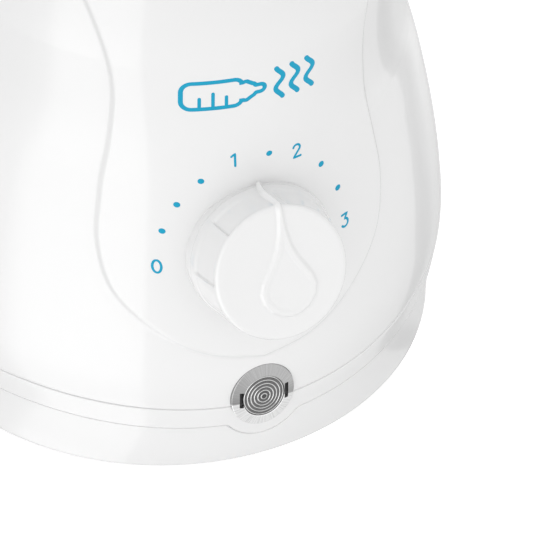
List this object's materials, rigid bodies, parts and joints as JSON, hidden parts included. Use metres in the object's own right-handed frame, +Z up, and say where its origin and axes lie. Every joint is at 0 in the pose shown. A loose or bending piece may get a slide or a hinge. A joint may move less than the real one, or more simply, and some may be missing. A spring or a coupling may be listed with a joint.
{
  "type": "bottle warmer",
  "caption": "Round electric bottle warmer with a waisted white body, a turn dial, a chrome pilot lamp and a heated well with a lift-out basket.",
  "frame": {"origin": "on the body's vertical axis, at the surface the feet stand on", "axes": "+Z up out of the well; -Y is the front, where the dial and the lamp are; +X is to the right seen from the front"},
  "size_m": [0.1358, 0.151, 0.15],
  "materials": {
    "white_plastic": "gloss",
    "lifter_plastic": "semi-gloss",
    "chrome": "polished",
    "aluminium": "satin",
    "steel": "satin",
    "brass": "satin",
    "rubber": "matt",
    "silicone": "matt",
    "heater_ceramic": "matt",
    "dark_plastic": "matt",
    "lens_plastic": "clear",
    "led_body": "clear",
    "lead_brown": "satin",
    "lead_blue": "satin",
    "print_blue": "satin"
  },
  "bodies": {
    "base": {"base_tray": "white_plastic", "capillary_tube": "steel", "case_screw_1": "steel", "case_screw_2": "steel", "case_screw_3": "steel", "case_screw_4": "steel", "contact_leaf": "brass", "cord_gland": "rubber", "foot_1": "rubber", "foot_2": "rubber", "foot_3": "rubber", "foot_4": "rubber", "heater_clamp": "steel", "heater_nut": "steel", "heater_plate": "heater_ceramic", "heating_well": "aluminium", "housing": "white_plastic", "lamp_bezel": "chrome", "lamp_holder": "dark_plastic", "lamp_led": "led_body", "lamp_lens": "lens_plastic", "lead_lamp_a": "lead_brown", "lead_lamp_b": "lead_blue", "lead_live": "lead_brown", "lead_neutral_a": "lead_blue", "lead_neutral_b": "lead_blue", "lead_switched": "lead_brown", "retainer_screw_1": "steel", "retainer_screw_2": "steel", "retainer_screw_3": "steel", "sensor_bulb": "steel", "terminal_block": "dark_plastic", "thermal_fuse": "steel", "thermostat_body": "dark_plastic", "thermostat_nut": "brass", "well_retainer": "steel", "well_seal": "silicone"},
    "knob": {"control_knob": "white_plastic", "thermostat_shaft": "steel"},
    "pin": {"adjusting_pin": "brass"},
    "lifter": {"bottle_lifter": "lifter_plastic"}
  },
  "joints": [
    {"name": "knob_turn", "type": "hinge", "parent": "base", "child": "knob", "pos_m": [0, -0.06182, 0.0645], "axis": [0, 0.9744, -0.225], "range_deg": [-95, 95]},
    {"name": "pin_travel", "type": "slide", "parent": "base", "child": "pin", "axis": [0, 0.9744, -0.225], "range_m": [-0.00055, 0.00055]},
    {"name": "lifter_lift", "type": "slide", "parent": "base", "child": "lifter", "axis": [0, 0, 1], "range_m": [0, 0.12]}
  ],
  "couplings": [
    {"joint": "pin_travel", "follows": "knob_turn", "m_per_rad": 0.000318}
  ]
}
